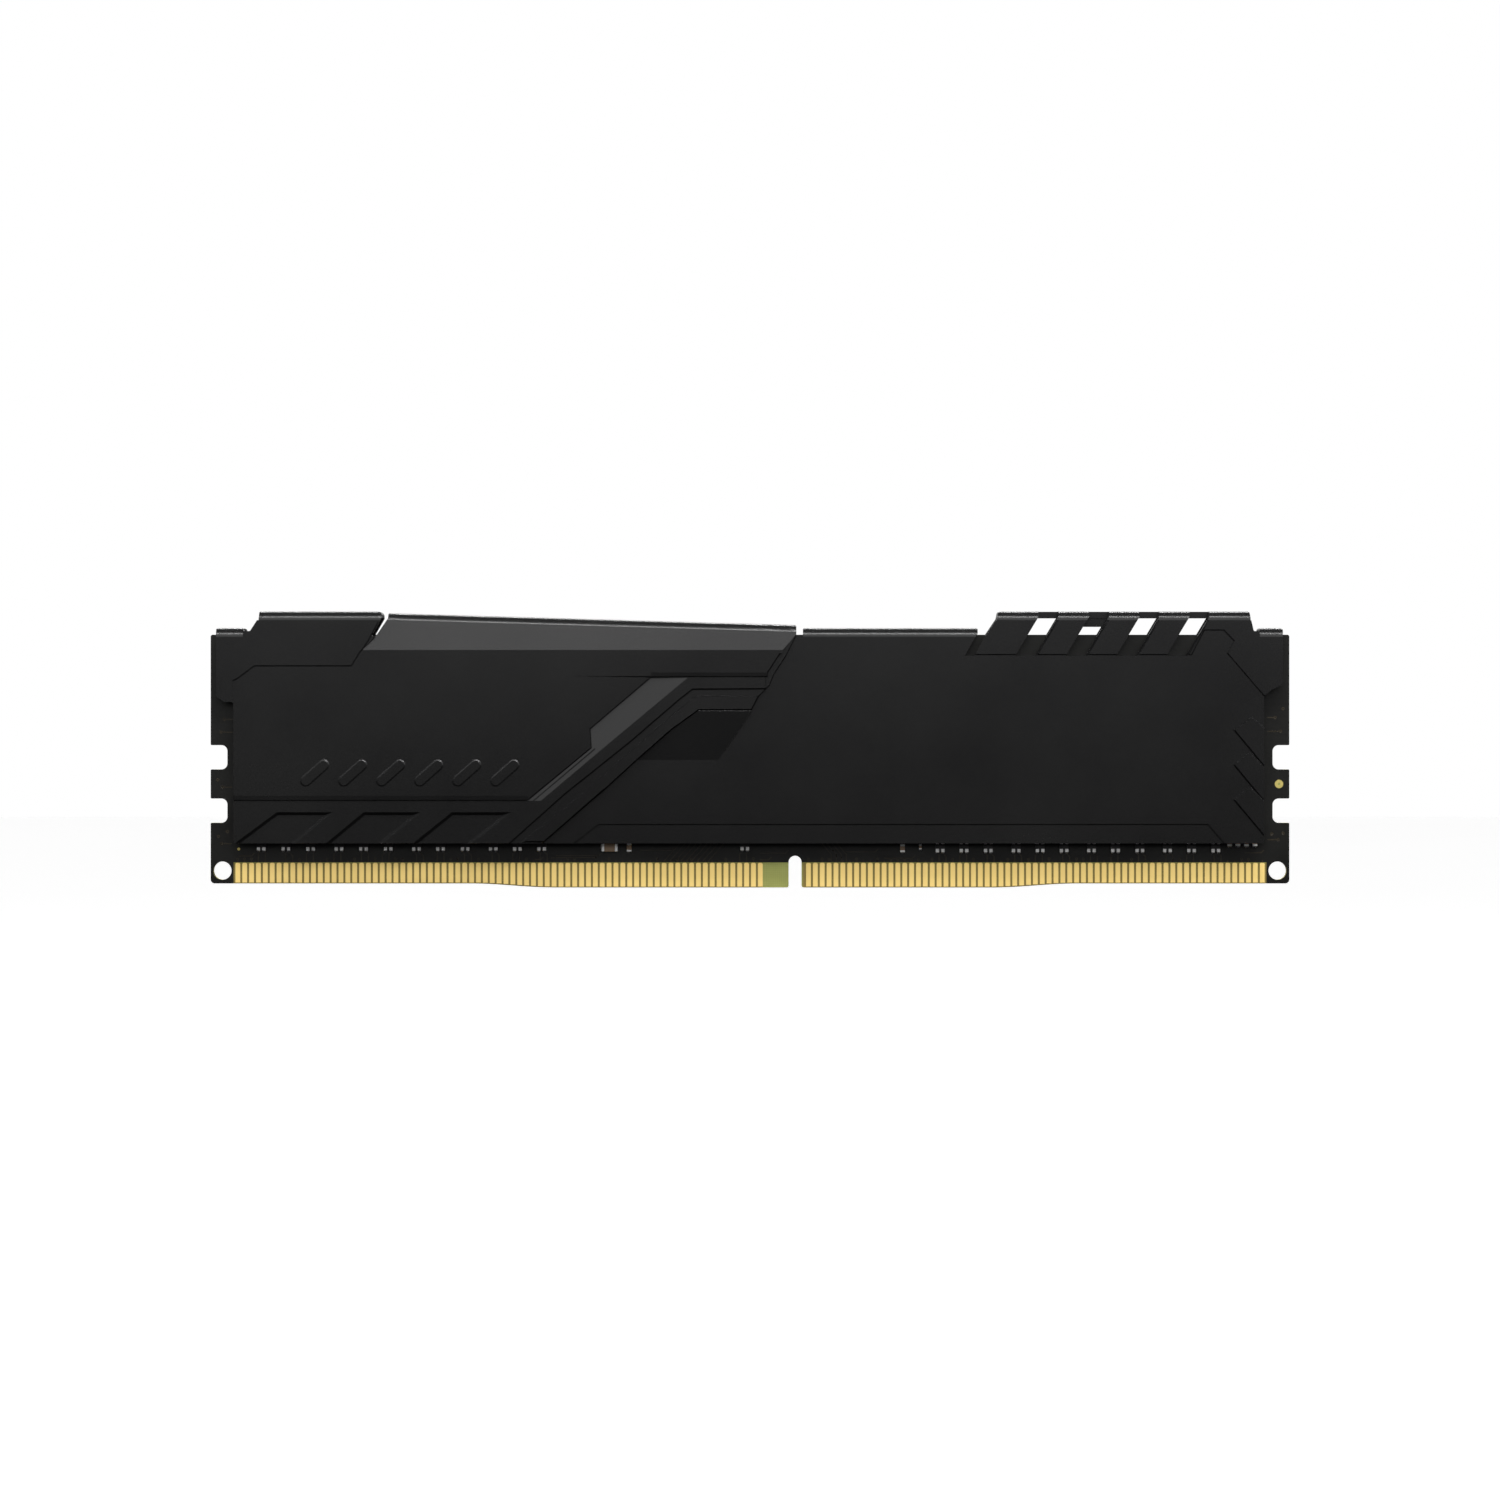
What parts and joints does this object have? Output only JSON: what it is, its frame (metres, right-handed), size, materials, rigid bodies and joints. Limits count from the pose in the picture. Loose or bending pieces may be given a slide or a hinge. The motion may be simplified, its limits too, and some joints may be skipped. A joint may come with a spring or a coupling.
{
  "type": "ram module",
  "caption": "Desktop memory module: a keyed, gold-contact circuit card clad front and rear in embossed black heat-spreader plates folded over its top edge.",
  "frame": {"origin": "middle of the card's length and thickness, at the lowest point of the contact edge", "axes": "+X along the card, +Y out of the rear plate, -Y out of the front plate, +Z from the contact edge to the top flanges"},
  "size_m": [0.1334, 0.0072, 0.0341],
  "materials": {
    "board_laminate": "glass-epoxy laminate, satin cut edges",
    "solder_mask": "black solder mask, satin",
    "gold_plating": "hard gold over nickel, satin",
    "resistor_body": "black glazed ceramic",
    "tin_plating": "matt tin",
    "capacitor_ceramic": "unglazed tan ceramic",
    "mould_compound": "matt black epoxy moulding",
    "solder": "reflowed solder",
    "thermal_pad": "soft filled silicone",
    "spreader_coating": "stamped aluminium with a satin black coat"
  },
  "bodies": {
    "root": {"capacitor_terminals_front": "tin_plating", "capacitor_terminals_rear": "tin_plating", "capacitors_front": "capacitor_ceramic", "capacitors_rear": "capacitor_ceramic", "circuit_board": "board_laminate", "edge_contacts_front": "gold_plating", "edge_contacts_rear": "gold_plating", "heat_spreader_front": "spreader_coating", "heat_spreader_rear": "spreader_coating", "memory_chip_front_1": "mould_compound", "memory_chip_front_2": "mould_compound", "memory_chip_front_3": "mould_compound", "memory_chip_front_4": "mould_compound", "memory_chip_front_5": "mould_compound", "memory_chip_front_6": "mould_compound", "memory_chip_front_7": "mould_compound", "memory_chip_front_8": "mould_compound", "memory_chip_rear_1": "mould_compound", "memory_chip_rear_2": "mould_compound", "memory_chip_rear_3": "mould_compound", "memory_chip_rear_4": "mould_compound", "memory_chip_rear_5": "mould_compound", "memory_chip_rear_6": "mould_compound", "memory_chip_rear_7": "mould_compound", "memory_chip_rear_8": "mould_compound", "resistor_arrays_front": "resistor_body", "resistor_arrays_rear": "resistor_body", "resistor_terminals_front": "tin_plating", "resistor_terminals_rear": "tin_plating", "solder_balls_front": "solder", "solder_balls_rear": "solder", "solder_mask_front": "solder_mask", "solder_mask_rear": "solder_mask", "spd_chip_leads": "tin_plating", "spd_memory_chip": "mould_compound", "test_pads": "gold_plating", "thermal_pad_front": "thermal_pad", "thermal_pad_rear": "thermal_pad"}
  },
  "joints": []
}
